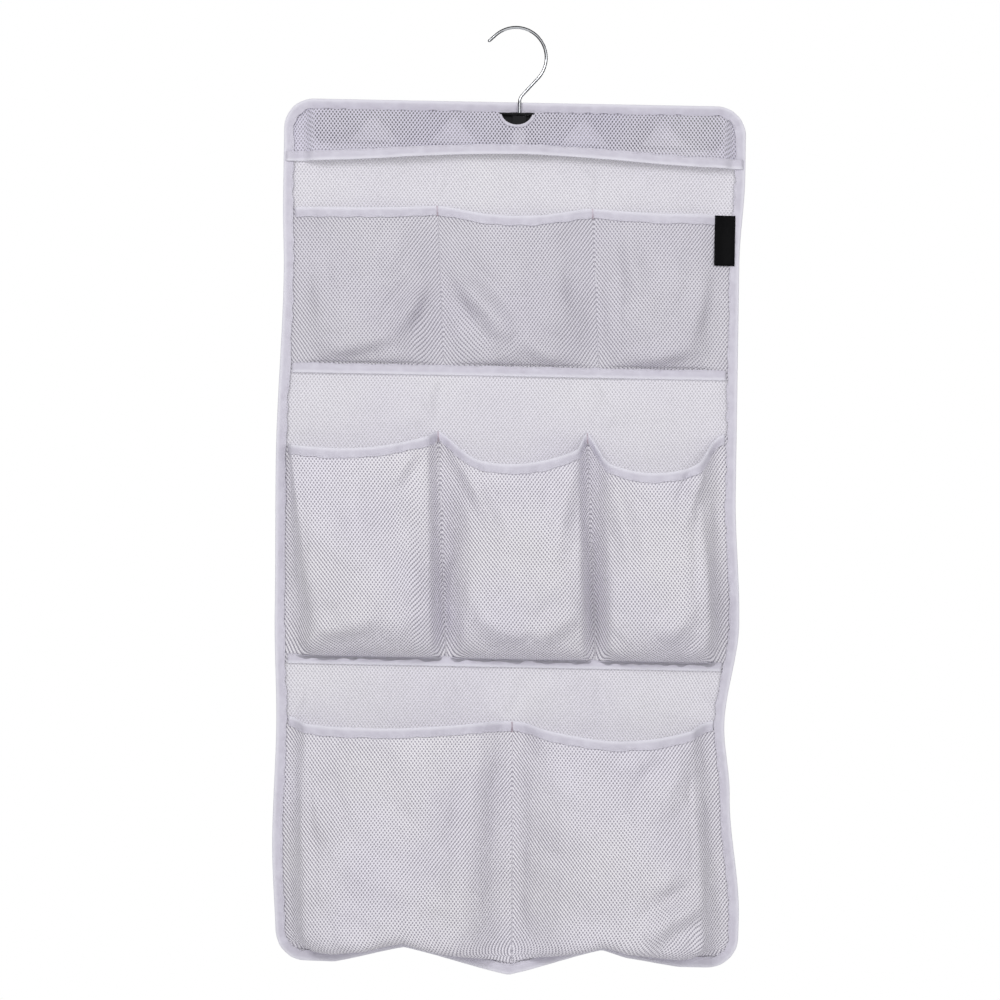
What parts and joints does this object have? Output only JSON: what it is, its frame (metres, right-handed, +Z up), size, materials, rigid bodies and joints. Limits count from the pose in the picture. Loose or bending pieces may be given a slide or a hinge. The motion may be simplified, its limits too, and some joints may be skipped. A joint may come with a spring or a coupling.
{
  "type": "hanging mesh organiser",
  "caption": "Flat hanging mesh organiser with rows of open pockets, a bound edge, and a bar hanger with a swivelling steel hook in the sleeve along its top.",
  "frame": {"origin": "the point under the hook's crown where the hook sits on a rail", "axes": "+Z up, the pockets open upwards and face -Y, +Y points to the wall or door behind"},
  "size_m": [0.4604, 0.0534, 0.9254],
  "materials": {
    "mesh_fabric": "white polyester mesh, open holes",
    "tape_fabric": "folded woven tape, pale lilac white",
    "seam_thread": "sewing thread",
    "label_fabric": "black woven satin, bare",
    "hanger_plastic": "black moulded, satin",
    "hook_steel": "bright plated wire"
  },
  "bodies": {
    "hook": {"swivel_hook": "hook_steel", "swivel_washer": "hook_steel"},
    "organiser": {"back_panel": "mesh_fabric", "edge_binding": "tape_fabric", "small_pocket_left": "mesh_fabric", "small_pocket_middle": "mesh_fabric", "small_pocket_right": "mesh_fabric", "medium_pocket_left": "mesh_fabric", "medium_pocket_middle": "mesh_fabric", "medium_pocket_right": "mesh_fabric", "large_pocket_left": "mesh_fabric", "large_pocket_right": "mesh_fabric", "small_row_top_tape": "tape_fabric", "small_row_bottom_tape": "tape_fabric", "medium_row_top_tape": "tape_fabric", "medium_row_bottom_tape": "tape_fabric", "large_row_top_tape": "tape_fabric", "small_row_seam_left": "seam_thread", "small_row_seam_right": "seam_thread", "medium_row_seam_left": "seam_thread", "medium_row_seam_right": "seam_thread", "large_row_seam": "seam_thread", "sleeve_front": "mesh_fabric", "sleeve_hem_tape": "tape_fabric", "notch_edging": "tape_fabric", "side_label": "label_fabric", "hanger_bar": "hanger_plastic"}
  },
  "joints": [
    {"name": "hook_swivel", "type": "hinge", "parent": "hook", "child": "organiser", "pos_m": [0.0044, 0, -0.08], "axis": [0, 0, 1], "continuous": true}
  ]
}
